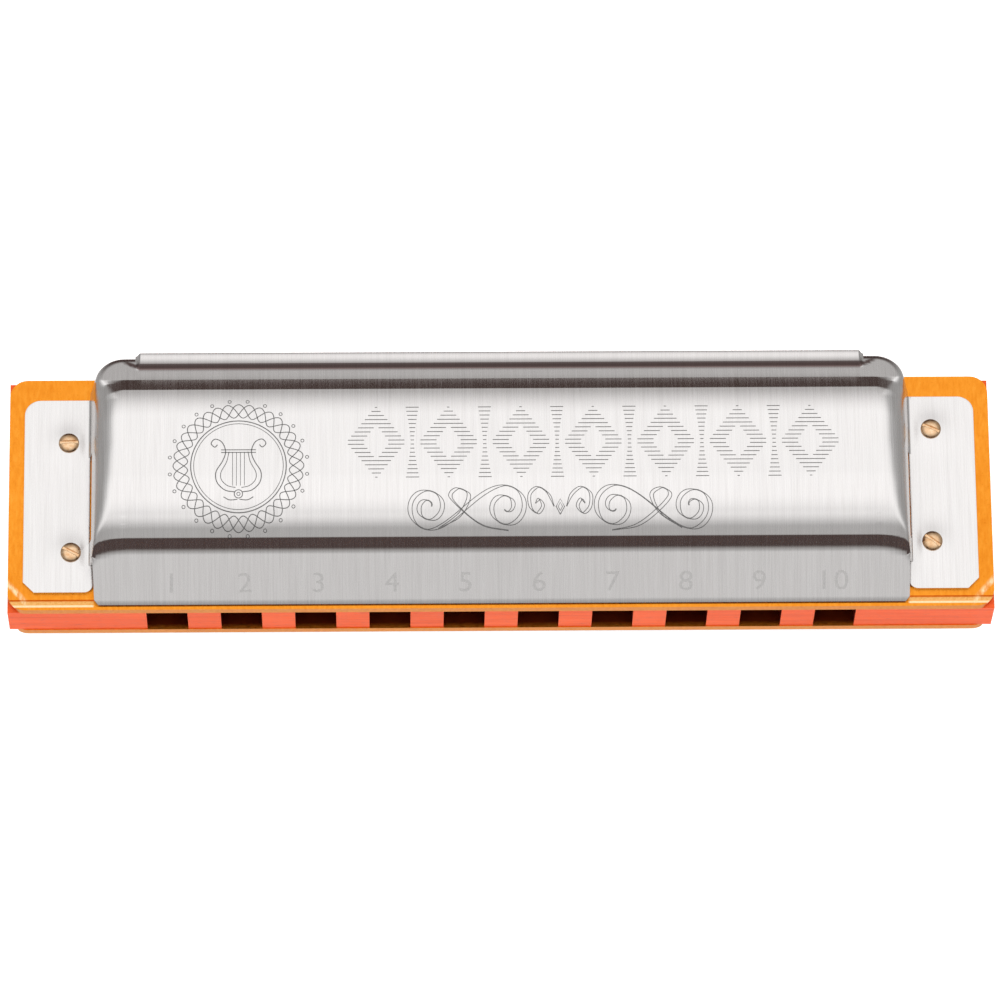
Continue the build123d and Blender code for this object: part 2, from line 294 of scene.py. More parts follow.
def stained_wood():
    """Close-grained wood stained orange-red, its grain along the comb, with painted shade darkening the
    inside of the channels.
    """
    material, tree, shader = new_material("stained_comb_wood")
    grain = noise(tree, stretched_coordinates(tree, (70, 1500, 1500)), 5.0, 0.6, 0.6)
    pores = noise(tree, stretched_coordinates(tree, (900, 6500, 6500)), 3.0, 0.7)
    cloud = noise(tree, stretched_coordinates(tree, (60, 200, 200)), 2.0, 0.5)
    wood_tones = [(0.28, (0.68, 0.078, 0.014)), (0.5, (0.79, 0.103, 0.020)), (0.75, (0.86, 0.13, 0.028))]
    base = ramp(tree, grain, wood_tones)
    dark = ramp(tree, pores, [(0.30, (0.70, 0.60, 0.55)), (0.42, WHITE)])
    tone = ramp(tree, cloud, [(0.3, (0.92, 0.87, 0.85)), (0.65, WHITE)])
    color = mixed(tree, 1.0, mixed(tree, 1.0, base, dark, "MULTIPLY"), tone, "MULTIPLY")
    _, y, _, aside = place_in(tree)
    within = falling(tree, aside, CHANNELS_X * MM, (CHANNELS_X + 0.2) * MM)
    behind = rising(tree, y, (MOUTH_Y + 0.12) * MM, (MOUTH_Y + 0.35) * MM)
    ahead = falling(tree, y, CHANNELS_REAR * MM, (CHANNELS_REAR + 0.3) * MM)
    channel_shade_mask = calc(tree, "MULTIPLY", calc(tree, "MULTIPLY", within, behind), ahead)
    # painted shade: the wood inside the channels is made near-black red, as if in shade
    painted_channel_shade = ramp(tree, grain, [(0.3, (0.085, 0.004, 0.002)), (0.7, (0.12, 0.007, 0.003))])
    color = mixed(tree, channel_shade_mask, color, painted_channel_shade)
    tree.links.new(color, shader.inputs["Base Color"])
    tree.links.new(spread(tree, pores, 0.42, 0.6), shader.inputs["Roughness"])
    shader.inputs["Specular IOR Level"].default_value = 0.2
    bumped(tree, shader, pores, 0.00001, 0.6)
    return material


STEEL = brushed_steel()
ENGRAVED = engraved_steel("engraved_line_steel", (0.17, 0.165, 0.165), (0.30, 0.295, 0.29))
STAMPED = engraved_steel("stamped_number_steel", (0.64, 0.63, 0.62), (0.76, 0.745, 0.735))
PLATE = plate_brass()
SCREW = fitting_brass("turned_screw_brass", (0.72, 0.43, 0.23), (0.90, 0.66, 0.43), 0.22)
PIN = fitting_brass("pin_brass", (0.66, 0.45, 0.20), (0.82, 0.62, 0.34), 0.3)
RIVET = fitting_brass("rivet_brass", (0.70, 0.46, 0.20), (0.84, 0.62, 0.32), 0.28)
REED = fitting_brass("filed_reed_brass", (0.72, 0.50, 0.22), (0.90, 0.70, 0.38), 0.26, (3000, 160, 160))
WOOD = stained_wood()


# ---------------------------------------------------------------- mesh helpers
def mesh_object(name, points, faces, material, smooth_angle=35.0):
    """points are in millimetres in the row frame."""
    mesh = bpy.data.meshes.new(name)
    mesh.from_pydata([tuple(p) for p in np.asarray(points) * MM], [], faces)
    mesh.materials.append(material)
    thing = bpy.data.objects.new(name, mesh)
    bpy.context.scene.collection.objects.link(thing)
    mesh.shade_smooth()
    mesh.set_sharp_from_angle(angle=radians(smooth_angle))
    return thing


def grid_faces(rows, columns, start=0):
    """Quads of a grid of points stored row by row."""
    corners = [start + r * columns + c for r in range(rows - 1) for c in range(columns - 1)]
    return [(k, k + 1, k + columns + 1, k + columns) for k in corners]


def face_outwards(mesh, side, weld=0.0):
    """Turns the faces outwards, judged by the outermost one above (side 1) or below (side -1).

    Points closer together than weld become one first.
    """
    work = bmesh.new()
    work.from_mesh(mesh)
    if weld:
        bmesh.ops.remove_doubles(work, verts=work.verts, dist=weld)
    bmesh.ops.recalc_face_normals(work, faces=work.faces)
    outermost = max(work.faces, key=lambda f: side * f.calc_center_median().z)
    if outermost.normal.z * side < 0:
        bmesh.ops.reverse_faces(work, faces=work.faces)
    work.to_mesh(mesh)
    work.free()


def read_vertices(mesh):
    """The places of a mesh's vertices, in metres."""
    places = np.zeros(len(mesh.vertices) * 3, np.float32)
    mesh.vertices.foreach_get("co", places)
    return places.reshape(-1, 3)


def smoothstep(t):
    t = np.clip(t, 0.0, 1.0)
    return t * t * (3 - 2 * t)


def rounded_run(points, radii, step=0.12):
    """A polyline with an arc at each inner corner, as closely spaced points."""
    points = [np.array(p, float) for p in points]
    out = [points[0]]
    for before, corner, after, radius in zip(points, points[1:], points[2:], radii):
        inward, outward = before - corner, after - corner
        inward, outward = inward / np.linalg.norm(inward), outward / np.linalg.norm(outward)
        half = np.arccos(np.clip(inward @ outward, -1, 1)) / 2
        reach = radius / np.tan(half)
        middle = inward + outward
        centre = corner + middle / np.linalg.norm(middle) * radius / np.sin(half)
        first, last = corner + inward * reach, corner + outward * reach
        count = max(4, int(radius * (pi - 2 * half) / step))
        for share in np.linspace(0, 1, count + 1):
            spoke = (1 - share) * (first - centre) + share * (last - centre)
            out.append(centre + spoke / np.linalg.norm(spoke) * radius)
    out.append(points[-1])
    filled = [out[0]]
    for a, b in zip(out, out[1:]):
        pieces = max(1, int(np.linalg.norm(b - a) / (step * 4)))
        filled += [a + (b - a) * k / pieces for k in range(1, pieces + 1)]
    return np.array(filled)


# ---------------------------------------------------------------- covers
# X from the middle, Y from the mouth and Z from the plate's outer face.
SHEET = 0.4
CROWN, CROWN_MIDDLE = 6.235, 12
SHELF_END = (24.15, 4.65)
LIP_X = 36.9  # where the rolled lip ends
FLANGE_ROUND = 0.4
# end walls, which lean inwards, and the rounded corners behind them
END_X, LEAN = 41.55, tan(radians(9.0))
WALL_START = 4.6
CORNER_X, CORNER_Y, CORNER_R = 38.0, 22.9, 2.7
# how far the steps swing towards the mouth, from where and over what run
STEP_FOOT = (5.43, 2.93)
FRONT_SWING, FRONT_SWING_X, FRONT_SWING_RUN = 1.0, 37.6, 3.6
REAR_SWING, REAR_SWING_RUN = 0.8, 2.4
# the vent between the wall and the tab: from and to in Y, its top, and the tab's edge beside it
VENT = (6.9, 16.2)
VENT_TOP, VENT_EDGE = 1.9, 41.52
# the tabs
TAB_BEND, TAB_OUT = 41.8, 48.2
TAB_FRONT, TAB_REAR = 1.75, 22.4
TAB_ROUND, TAB_CUT, TAB_INNER_ROUND = 1.6, 1.1, 0.9
ROUND_SCREWS = (42.35, 46.4)  # the stretch of X that needs close points

# The skin over the middle from mouth to back, as distance from the mouth and height above the plate.
FLANGE_START, FLANGE_END = (0.45, 0.16), (5.38, 2.90)
STEP_AND_CROWN = [(6.08, 4.32), (7.4, 5.25), (9.2, 5.93), (11.6, CROWN), (19.9, CROWN)]
REAR_STEP = [(21.45, 5.86), (22.85, 4.97)]
SECTION = rounded_run(
    [FLANGE_START, FLANGE_END, *STEP_AND_CROWN, *REAR_STEP, SHELF_END],
    [1.6, 0.30, 5.0, 7.0, 10.0, 11.0, 0.25, 0.22],
)
LIP = [(24.6, 5.0), (25.18, 5.3), (25.66, 5.2)]
BEAD = rounded_run([(CORNER_Y + 0.001, 4.95), SHELF_END, *LIP], [0.2, 0.25, 1.15], 0.05)


def section_z(y):
    return np.interp(y, SECTION[:, 0], SECTION[:, 1])


# Each screw as it sits, a little off its even place: x, distance from the mouth, turn of its slot.
SCREW_SPOTS = {
    "front_left": (-43.4, 5.93, -28),
    "rear_left": (-43.7, 17.7, 2),
    "front_right": (43.6, 6.7, -37),
    "rear_right": (43.8, 18.8, -24),
}


def flange_z(y):
    """Height of the number flange's plane, carried on under the step."""
    (start_y, start_z), (end_y, end_z) = FLANGE_START, STEP_FOOT
    return start_z + (y - start_y) * (end_z - start_z) / (end_y - start_y)


def surface_z(x, y):
    """Height of the skin away from the walls: both steps swing towards the mouth near each end."""
    aside = np.abs(x)
    share = np.clip((aside - FRONT_SWING_X) / FRONT_SWING_RUN, 0, 0.995)
    front = FRONT_SWING * (1 - np.sqrt(1 - share**2))
    rear = REAR_SWING * np.clip((aside - CORNER_X) / REAR_SWING_RUN, 0, 1.2) ** 1.5
    if y < CROWN_MIDDLE:
        swing = front * (1 - smoothstep((y - 8) / 3))
        spare = (flange_z(y + swing) - flange_z(y)) * (1 - smoothstep((y + swing - STEP_FOOT[0]) / 3))
    else:
        swing = rear * smoothstep((y - 14) / 4)
        spare = (section_z(CORNER_Y + swing) - section_z(CORNER_Y)) * smoothstep(y - CORNER_Y + 1)
    return section_z(y + swing) - spare


SHELF_Y = 23.3
SHELF_SLOPE = (SHELF_END[1] - float(section_z(SHELF_Y))) / (SHELF_END[0] - SHELF_Y)
BEAD[0] = (CORNER_Y, float(section_z(CORNER_Y)))


def shelf_z(y):
    """The shelf carried on towards the back as a plain slope."""
    y = np.asarray(y, float)
    return np.where(y < SHELF_Y, section_z(y), section_z(SHELF_Y) + SHELF_SLOPE * (y - SHELF_Y))


def edge_round(y):
    """Radius of the bend between the top and an end wall: wide on the crown, tight on the shelf."""
    tight = 0.45
    wide = float(np.interp(y, (6.0, 9.3, 16.0, 20.5, CORNER_Y), (1.2, 1.55, 2.2, 2.2, 1.0)))
    return tight + (wide - tight) * float(smoothstep((section_z(y) - 4.3) / 1.5))


def wall_x(z):
    return END_X - LEAN * (z - SHEET)


bead_steps = np.concatenate([[0], np.cumsum(np.linalg.norm(np.diff(BEAD, axis=0), axis=1))])
bead_share = bead_steps / bead_steps[-1]
FLAT_END = 25.62
flat_ys = CORNER_Y + (FLAT_END - CORNER_Y) * bead_share
shelf_round = edge_round(CORNER_Y)
flat_reach = CORNER_R - shelf_round
top_shares = [(y - CORNER_Y) / flat_reach for y in flat_ys if y < CORNER_Y + flat_reach - 0.03]
top_shares.append(1.0)


def wall_profile(reach_at, top_at, radius, foot):
    """Points (distance out, height) over the top, round the bend and down the wall.

    reach_at(z) is how far out the wall is at height z, top_at(distance) the height of the top.
    foot is the place and height of the bend into the tab, or None where the wall ends on the plate.
    """
    top_z = top_at(reach_at(top_at(2.0)) - radius)
    flat = reach_at(top_z) - radius
    run = [(share * flat, top_at(share * flat)) for share in top_shares]
    for angle in np.linspace(0, pi / 2, 15)[1:]:
        out = flat + radius * sin(angle)
        z = top_at(min(out, flat + radius)) - radius * (1 - cos(angle))
        run.append((reach_at(z) - radius * (1 - sin(angle)), z))
    low = run[-1][1]
    run += [(reach_at(z), z) for z in np.linspace(low, VENT_TOP, 5)[1:]]
    upper = len(run)
    if foot:
        bend, rise = foot
        run += [(reach_at(z), z) for z in (1.3, SHEET + rise)]
        start = reach_at(SHEET + rise)
        across = bend - CORNER_X - start
        for angle in np.linspace(0, pi / 2, 9)[1:]:
            run.append((start + across * (1 - cos(angle)), SHEET + rise * (1 - sin(angle))))
    else:
        run += [(reach_at(z), z) for z in (1.3, 0.7, 0.02)]
    return run, upper


def tab_rise(x, y):
    """How far a tab swells up round its screws, at a place on the upper cover."""
    swell = sum(0.25 * np.exp(-((x - sx) ** 2 + (y - sy) ** 2) / 3.0) for sx, sy, _ in SCREW_SPOTS.values())
    return swell * smoothstep((abs(x) - TAB_BEND) / 0.9) * smoothstep(TAB_OUT - abs(x))


def tab_bend(y):
    """Where the bend between tab and wall ends and how high it starts: sharper ahead of the vent."""
    return (41.63, 0.15) if y < VENT[0] + NEAR else (TAB_BEND, 0.3)


def tab_inner(y):
    """Inner edge of the tab: free beside the flange and the vent, bent up where it joins the wall."""
    if y < WALL_START - NEAR:
        return EDGE_X
    if VENT[0] + NEAR < y < VENT[1] - NEAR:
        return VENT_EDGE
    return tab_bend(y)[0]


def cover_surface():
    """The outer skin of a cover in its own place: x, distance from the mouth, height above the plate."""
    points, faces = [], []

    def patch(rows, flip=False):
        rows = np.asarray(rows, float)
        quads = grid_faces(rows.shape[0], rows.shape[1], len(points))
        points.extend(rows.reshape(-1, 3))
        faces.extend([q[::-1] for q in quads] if flip else quads)

    own = [y for y in SECTION[:, 0] if y < CORNER_Y - 0.02]
    special = [WALL_START, *VENT, TAB_REAR, CORNER_Y, TAB_REAR - 0.1, TAB_REAR - 0.3]
    close, wide = np.arange(4.9, 9.0, 0.1), np.arange(9.1, 22.3, 0.25)
    ys = sorted({round(y, 4) for y in [*own, *special, *close, *wide]})
    kept = [round(s, 4) for s in special]
    ys = np.array([y for i, y in enumerate(ys) if y in kept or i == 0 or y - ys[i - 1] > 0.004])
    end_x, lip_end_x = 33.6, 36.2
    by_lip_end, by_corner = np.linspace(lip_end_x, LIP_X, 10), np.linspace(LIP_X, CORNER_X, 5)[1:]
    near_end = np.concatenate([np.linspace(end_x, lip_end_x, 12)[:-1], by_lip_end, by_corner])
    middle = np.linspace(-end_x, end_x, 33)[1:-1]
    xs = np.concatenate([-near_end[::-1], middle, near_end])

    patch([[(x, y, section_z(y)) for x in xs] for y in ys])

    lip = []
    for flat_y, (bead_y, bead_z) in zip(flat_ys, BEAD):
        flat_z = shelf_z(flat_y)
        row = []
        for x in [x for x in xs if abs(x) <= LIP_X + NEAR]:
            grow = smoothstep((LIP_X - abs(x)) / 0.55)
            row.append((x, flat_y + (bead_y - flat_y) * grow, flat_z + (bead_z - flat_z) * grow))
        lip.append(row)
    patch(lip)

    wall_ys = [y for y in ys if y >= WALL_START - NEAR]
    front_ys = [y for y in ys if y <= WALL_START + NEAR]
    wall_reach = lambda z: wall_x(z) - CORNER_X
    for side in (-1, 1):
        flip = side < 0
        upper_rows, tab_rows, low_rows = [], {}, []
        for y in wall_ys:
            foot = tab_bend(y) if y <= TAB_REAR + NEAR else None
            top = lambda d, y=y: float(surface_z(CORNER_X + d, y))
            run, upper = wall_profile(wall_reach, top, edge_round(y), foot)
            upper_rows.append([(side * (CORNER_X + d), y, z) for d, z in run[:upper]])
            if foot:
                tab_rows[y] = [(side * (CORNER_X + d), y, z) for d, z in run[upper - 1 :]]
            if y >= TAB_REAR - NEAR:
                plain, _ = wall_profile(wall_reach, top, edge_round(y), None)
                low_rows.append([(side * (CORNER_X + d), y, z) for d, z in plain[upper - 1 :]])
        patch(upper_rows, flip)
        for start, end in ((WALL_START, VENT[0]), (VENT[1], TAB_REAR)):
            patch([row for y, row in tab_rows.items() if start - NEAR <= y <= end + NEAR], flip)
        patch(low_rows, flip)

        start_z = float(section_z(CORNER_Y))
        ends, _ = wall_profile(wall_reach, lambda d: start_z, shelf_round, None)
        backs, _ = wall_profile(lambda z: CORNER_R, lambda d: float(shelf_z(CORNER_Y + d)), shelf_round, None)
        round_rows = []
        for angle in np.linspace(0, pi / 2, 21):
            share = sin(angle) ** 2
            row = []
            for (d_end, z_end), (d_back, z_back) in zip(ends, backs):
                y = CORNER_Y + d_back * sin(angle)
                drop = (1 - share) * (start_z - z_end) + share * (float(shelf_z(CORNER_Y + d_back)) - z_back)
                row.append((side * (CORNER_X + d_end * cos(angle)), y, max(0.02, float(shelf_z(y)) - drop)))
            round_rows.append(row)
        patch(round_rows, flip)

        rear_xs = [x for x in xs if x * side > 0 and LIP_X - NEAR <= abs(x) <= CORNER_X + NEAR]
        rear_xs = sorted(rear_xs, key=abs, reverse=True)
        patch([[(x, CORNER_Y + d, z) for d, z in backs] for x in rear_xs], flip)

        flange_x = [abs(p[0]) for p in upper_rows[0][: len(top_shares)]]
        rows = []
        for y in front_ys:
            edge = EDGE_X - 0.18 * (1 - y / WALL_START) * (side < 0)
            round_start = FLANGE_START[0] + FLANGE_ROUND
            if y < round_start:
                edge -= FLANGE_ROUND - sqrt(max(0.0, FLANGE_ROUND**2 - (round_start - y) ** 2))
            row = []
            for x in [*flange_x, *np.linspace(flange_x[-1], EDGE_X, 9)[1:]]:
                x = CORNER_X + (x - CORNER_X) * (edge - CORNER_X) / (EDGE_X - CORNER_X)
                row.append((side * x, y, float(surface_z(x, y))))
            rows.append(row)
        patch(rows, flip)

        rounding = TAB_REAR - TAB_ROUND * (1 - np.sin(np.linspace(0, pi / 2, 9)))
        free = TAB_FRONT + TAB_INNER_ROUND * (1 - np.cos(np.linspace(0, pi / 2, 8)))
        beside_flange = np.linspace(TAB_FRONT + 1.4, WALL_START, 12)[:-1]
        steps = [*free, TAB_FRONT + TAB_CUT, *beside_flange, WALL_START - 0.03]
        steps += [VENT[0] + 0.03, VENT[1] - 0.03, *rounding, *[y for y in wall_ys if y <= TAB_REAR + NEAR]]
        rows = []
        for y in sorted({round(float(y), 4) for y in steps}):
            inner, outer = tab_inner(y), TAB_OUT
            to_round = TAB_FRONT + TAB_INNER_ROUND - y
            if to_round > 0:
                inner += TAB_INNER_ROUND - sqrt(max(0, TAB_INNER_ROUND**2 - to_round**2))
            if y < TAB_FRONT + TAB_CUT:
                outer -= TAB_CUT - (y - TAB_FRONT)
            if y > TAB_REAR - TAB_ROUND:
                outer -= TAB_ROUND - sqrt(max(0, TAB_ROUND**2 - (y - TAB_REAR + TAB_ROUND) ** 2))
            around = np.linspace(*ROUND_SCREWS, 24)
            inwards, outwards = np.linspace(inner, around[0], 5)[:-1], np.linspace(around[-1], outer, 9)[1:]
            across = [*inwards, *around, *outwards]
            rows.append([(side * x, y, SHEET + tab_rise(side * x, y)) for x in across])
        patch(rows, flip)
    return np.array(points), faces


def painted_crease_shade_amount(x, y):
    """Painted shade and dark reflection in the crease in front of the rolled lip, and where it turns to the
    corners, with fainter painted shade on the lip behind it.
    """
    aside = np.abs(x)
    turn = np.clip((aside - 36.5) / 1.9, 0, 1)
    centre = 24.33 + 0.8 * turn
    width = 0.29 - 0.13 * turn
    fade = 1 - smoothstep((aside - FRONT_SWING_X) / 0.8)
    painted_lip_shade = 0.15 * smoothstep((y - centre) / 0.2) * smoothstep((LIP_X - aside) / 0.3)
    return np.maximum(smoothstep((width - np.abs(y - centre)) / 0.14 + 0.5) * fade, painted_lip_shade)


def make_cover(name, side):
    """The cover on the upper (side 1) or lower (side -1) plate: a skin thickened inwards to a sheet."""
    points, faces = cover_surface()
    plate = UPPER_TOP if side > 0 else LOWER_BOTTOM
    placed = points * (side, 1, side) + (0, MOUTH_Y, plate)
    skin = mesh_object(name + "_skin", placed, faces, STEEL)
    face_outwards(skin.data, side, 0.004 * MM)
    at = read_vertices(skin.data) / MM
    by_lip = np.abs(at[:, 2] - plate) > 4.2
    # painted shade in the crease before the lip, stored on the skin for the steel colour to darken by
    painted_shade = painted_crease_shade_amount(at[:, 0], at[:, 1] - MOUTH_Y) * by_lip
    painted_crease_shade = skin.data.attributes.new("painted_crease_shade", "FLOAT", "POINT")
    painted_crease_shade.data.foreach_set("value", painted_shade.astype(np.float32))
    thick = skin.modifiers.new("sheet", "SOLIDIFY")
    thick.thickness = SHEET * MM
    thick.offset = -1
    thick.use_even_offset = True
    thick.use_quality_normals = True
    soft = skin.modifiers.new("edges", "BEVEL")
    soft.width = 0.08 * MM
    soft.segments = 2
    soft.limit_method = "ANGLE"
    soft.angle_limit = radians(58)
    solid = bpy.data.meshes.new_from_object(skin.evaluated_get(bpy.context.evaluated_depsgraph_get()))
    solid.name = name
    bpy.data.objects.remove(skin)
    cover = bpy.data.objects.new(name, solid)
    bpy.context.scene.collection.objects.link(cover)
    solid.shade_smooth()
    solid.set_sharp_from_angle(angle=radians(40))
    layer = solid.uv_layers.new(name="along")
    corners = np.zeros(len(solid.loops), np.int32)
    solid.loops.foreach_get("vertex_index", corners)
    x, y, z = read_vertices(solid)[corners].T
    per_metre = 10
    across, down = x * per_metre, (y + z * 0.5) * per_metre
    layer.data.foreach_set("uv", np.stack([across, down], 1).astype(np.float32).ravel())
    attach(cover, "body")
    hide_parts(name)
    return cover


make_cover("upper_cover", 1).name = "upper_cover_sheet"
make_cover("lower_cover", -1).name = "lower_cover_sheet"


# ---------------------------------------------------------------- engraving on the upper cover
def directions(line):
    """The unit directions along and across a line at each of its points."""
    along = np.gradient(line, axis=0)
    along /= np.linalg.norm(along, axis=1)[:, None] + 1e-12
    return along, np.stack([-along[:, 1], along[:, 0]], 1)


def ribbon(line, width):
    """A low, narrow strip along a line on the cover, its edges just under the skin."""
    line = np.asarray(line, float)
    _, across = directions(line)
    sunk, lift = -0.006, 0.012
    rows = []
    for share, up in ((-0.5, sunk), (-0.3, lift), (0.3, lift), (0.5, sunk)):
        edge = line + across * (width * share)
        rows.append(np.stack([edge[:, 0], edge[:, 1], section_z(edge[:, 1]) + up], 1))
    return np.array(rows)


class Engraving:
    """Lines gathered into one piece."""

    def __init__(self):
        self.points, self.faces = [], []

    def add(self, line, width):
        rows = ribbon(line, width)
        self.faces += grid_faces(4, rows.shape[1], len(self.points))
        self.points += list(rows.reshape(-1, 3))

    def build(self, name, material):
        placed = np.array(self.points) + (0, MOUTH_Y, UPPER_TOP)
        thing = mesh_object(name, placed, [f[::-1] for f in self.faces], material, 80)
        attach(thing, "body")
        return thing


def through(points, per_span=10):
    """A smooth line through the given points."""
    p = np.asarray(points, float)
    p = np.vstack([2 * p[0] - p[1], p, 2 * p[-1] - p[-2]])
    out = []
    for a, b, c, d in zip(p, p[1:], p[2:], p[3:]):
        square, cube = 2 * a - 5 * b + 4 * c - d, 3 * b - a - 3 * c + d
        for t in np.linspace(0, 1, per_span, endpoint=False):
            out.append(0.5 * (2 * b + (c - a) * t + square * t**2 + cube * t**3))
    out.append(p[-2])
    return np.array(out)


def circle(centre, radius, count=72):
    """A closed ring; radius may change round it."""
    turn = np.linspace(0, 2 * pi, count + 1)
    return np.stack([centre[0] + radius * np.cos(turn), centre[1] + radius * np.sin(turn)], 1)


def rosette(work, centre):
    """A plaited ring of three strands, edged with small circles, round a lyre."""
    strands, waves, plait, sway, circles, circle_ring = 3, 12, 5.85, 0.72, 24, 6.95
    turn = np.linspace(0, 2 * pi, 433)
    for strand in range(strands):
        radius = plait + sway * np.cos(waves * turn + strand * 2 * pi / strands)
        work.add(circle(centre, radius, len(turn) - 1), 0.11)
    work.add(circle(centre, 4.8), 0.13)
    work.add(circle(centre, 4.5), 0.08)
    for k in range(circles):
        a = 2 * pi * (k + 0.5) / circles
        work.add(circle(centre + circle_ring * np.array((cos(a), sin(a))), 0.16, 12), 0.09)
    place = lambda pts: np.asarray(pts, float) + centre
    arm = [(0.35, -2.75), (1.35, -2.55), (2.15, -1.75), (2.25, -0.65), (1.6, 0.5), (1.3, 1.5)]
    scroll = [(1.65, 2.5), (2.35, 2.85), (2.75, 2.4), (2.4, 2.0), (2.1, 2.25)]
    inner = [(0.3, -2.3), (1.1, -2.1), (1.7, -1.5), (1.75, -0.7), (1.2, 0.4), (0.95, 1.5)]
    foot = [(0.1, -3.5), (0.9, -3.55), (1.5, -3.25)]
    for side in (-1, 1):
        for line, width in ((arm + scroll, 0.12), (inner, 0.09), (foot, 0.11)):
            work.add(through(place([(side * x, y) for x, y in line])), width)
    for y in (1.42, 1.7):
        work.add(place([(x, y) for x in np.linspace(-1.75, 1.75, 9)]), 0.11)
    for x in (-0.6, -0.2, 0.2, 0.6):
        work.add(place([(x, y) for y in np.linspace(-2.1, 1.42, 12)]), 0.07)
    work.add(circle(place((0, -2.95)), 0.42, 20), 0.11)
    work.add(circle(place((0, -2.95)), 0.17, 12), 0.09)


def frieze(work, left, right, low, high):
    """A row of lozenges and spindles filled with level hatching."""
    lines, count = 18, 7
    pitch = (right - left) / count
    widest = pitch * 0.5 - 0.75
    middle, half = (low + high) / 2, (high - low) / 2
    for level in range(lines):
        y = low + (high - low) * level / (lines - 1)
        rise = 1 - abs(y - middle) / half
        for k in range(count):
            x = left + pitch * (k + 0.5)
            outer = widest * rise + 0.12
            hollow = widest * (rise - 0.5) * 0.95
            spans = [(x - outer, x + outer)]
            if hollow > 0.05:
                spans = [(x - outer, x - hollow), (x + hollow, x + outer)]
            if k < count - 1:
                spindle = 0.16 + 0.5 * (1 - rise) ** 1.4
                spans.append((x + pitch / 2 - spindle, x + pitch / 2 + spindle))
            for a, b in spans:
                work.add([(t, y) for t in np.linspace(a, b, 4)], 0.1)


def swelling(work, line, widest, thin=0.05, pen=0.09):
    """Both edges of a pen stroke that swells on its downward runs and closes at its ends."""
    line = np.asarray(line, float)
    along, across = directions(line)
    share = np.linspace(0, 1, len(line))
    taper = smoothstep(share / 0.12) * smoothstep((1 - share) / 0.12)
    downward = np.abs(along @ np.array((0.35, 0.94)))
    half = (thin + (widest - thin) * smoothstep((downward - 0.25) / 0.7) * taper) / 2
    for side in (-1, 1):
        work.add(line + across * (half * side)[:, None], pen)


def flourish(work, centre, width, height):
    """A mirrored penman's flourish of scrolls and loops round a small lozenge."""
    half, r = width / 2, height / 2
    end, near = (half - r, 0.0), (half * 0.36, 0.0)
    turns = np.linspace(0, 1, 80)
    first = []
    for t in turns:
        a, radius = radians(-90 + 620 * (1 - t)), 0.3 + (r - 0.3) * t**0.8
        first.append((end[0] + radius * cos(a), end[1] + radius * sin(a)))
    last = []
    for t in turns:
        a, radius = radians(90 + 560 * t), 0.92 * r * (1 - t) ** 0.8 + 0.25
        last.append((near[0] + radius * cos(a), near[1] + radius * sin(a)))
    (x0, y0), (x1, y1) = first[-1], last[0]
    bridge = []
    for t in np.linspace(0, 1, 34)[1:-1]:
        bridge.append((x0 + (x1 - x0) * t, y0 + (y1 - y0) * (3 * t**2 - 2 * t**3)))
    scroll = np.array(first + bridge + last)
    rise, fall = [(0.8, -0.96), (0.66, -0.35), (0.6, 0.55), (0.67, 0.9)], [(0.72, 0.5), (0.62, -0.3)]
    tail = [(0.5, -0.85), (0.34, -1.05)]
    loops = through([(half * x, y * r) for x, y in rise + fall + tail], 12)
    inner_loop = [(2.2, 0.95), (3.05, 0.62), (3.0, 0.0), (2.3, -0.3)]
    start, end = [(0.62, 0), (1.2, 0.62 * r)], [(1.75, 0.05), (2.1, 0.35 * r), (2.5, 0.15 * r)]
    inner = through([*start, *[(x, y * r) for x, y in inner_loop], *end], 12)
    for side in (-1, 1):
        for line, widest in ((scroll, 0.42), (loops, 0.36), (inner, 0.3)):
            swelling(work, line * (side, 1) + centre, widest)
    for x, y, pen in ((0.42, 0.75, 0.11), (0.22, 0.4, 0.08)):
        work.add(np.array([(0, -y), (x, 0), (0, y), (-x, 0), (0, -y)]) + centre, pen)


marks = Engraving()
rosette(marks, np.array((-26.4, 13.1)))
frieze(marks, -16.2, 34.8, 11.8, 19.3)
flourish(marks, np.array((5.9, 8.75)), 30.6, 4.1)
marks.build("upper_cover_engraving", ENGRAVED)


def hole_numbers():
    """The numbers 1 to 10 over the holes, stamped on the sloping flange."""
    slope_start, slope_end = (np.array((y, section_z(y))) for y in (1.0, 4.8))
    along = (slope_end - slope_start) / np.linalg.norm(slope_end - slope_start)
    outward = np.array((-along[1], along[0]))
    spot = slope_start + along * NUMBER_UP - outward * NUMBER_SUNK
    for index in range(10):
        x = NUMBER_PITCH * (index - 4.5) + NUMBER_SHIFT
        curve = bpy.data.curves.new(f"number_{index + 1}", "FONT")
        curve.body = str(index + 1)
        curve.size = NUMBER_SIZE * MM
        curve.align_x = "CENTER"
        curve.extrude = 0.025 * MM
        curve.space_character = 1.12
        text = bpy.data.objects.new(f"hole_number_{index + 1}", curve)
        bpy.context.scene.collection.objects.link(text)
        turn = Matrix(((1, 0, 0), (0, along[0], outward[0]), (0, along[1], outward[1]))).to_4x4()
        place = Matrix.Translation((x * MM, (MOUTH_Y + spot[0]) * MM, (UPPER_TOP + spot[1]) * MM))
        text.matrix_world = place @ turn @ Matrix.Diagonal((NUMBER_STRETCH, 1, 1, 1))
        bpy.context.view_layer.update()
        mesh = bpy.data.meshes.new_from_object(text.evaluated_get(bpy.context.evaluated_depsgraph_get()))
        mesh.transform(text.matrix_world)
        bpy.data.objects.remove(text)
        mesh.materials.clear()
        mesh.materials.append(STAMPED)
        mesh.shade_flat()
        number = bpy.data.objects.new(f"hole_number_{index + 1}", mesh)
        bpy.context.scene.collection.objects.link(number)
        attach(number, "body")


hole_numbers()


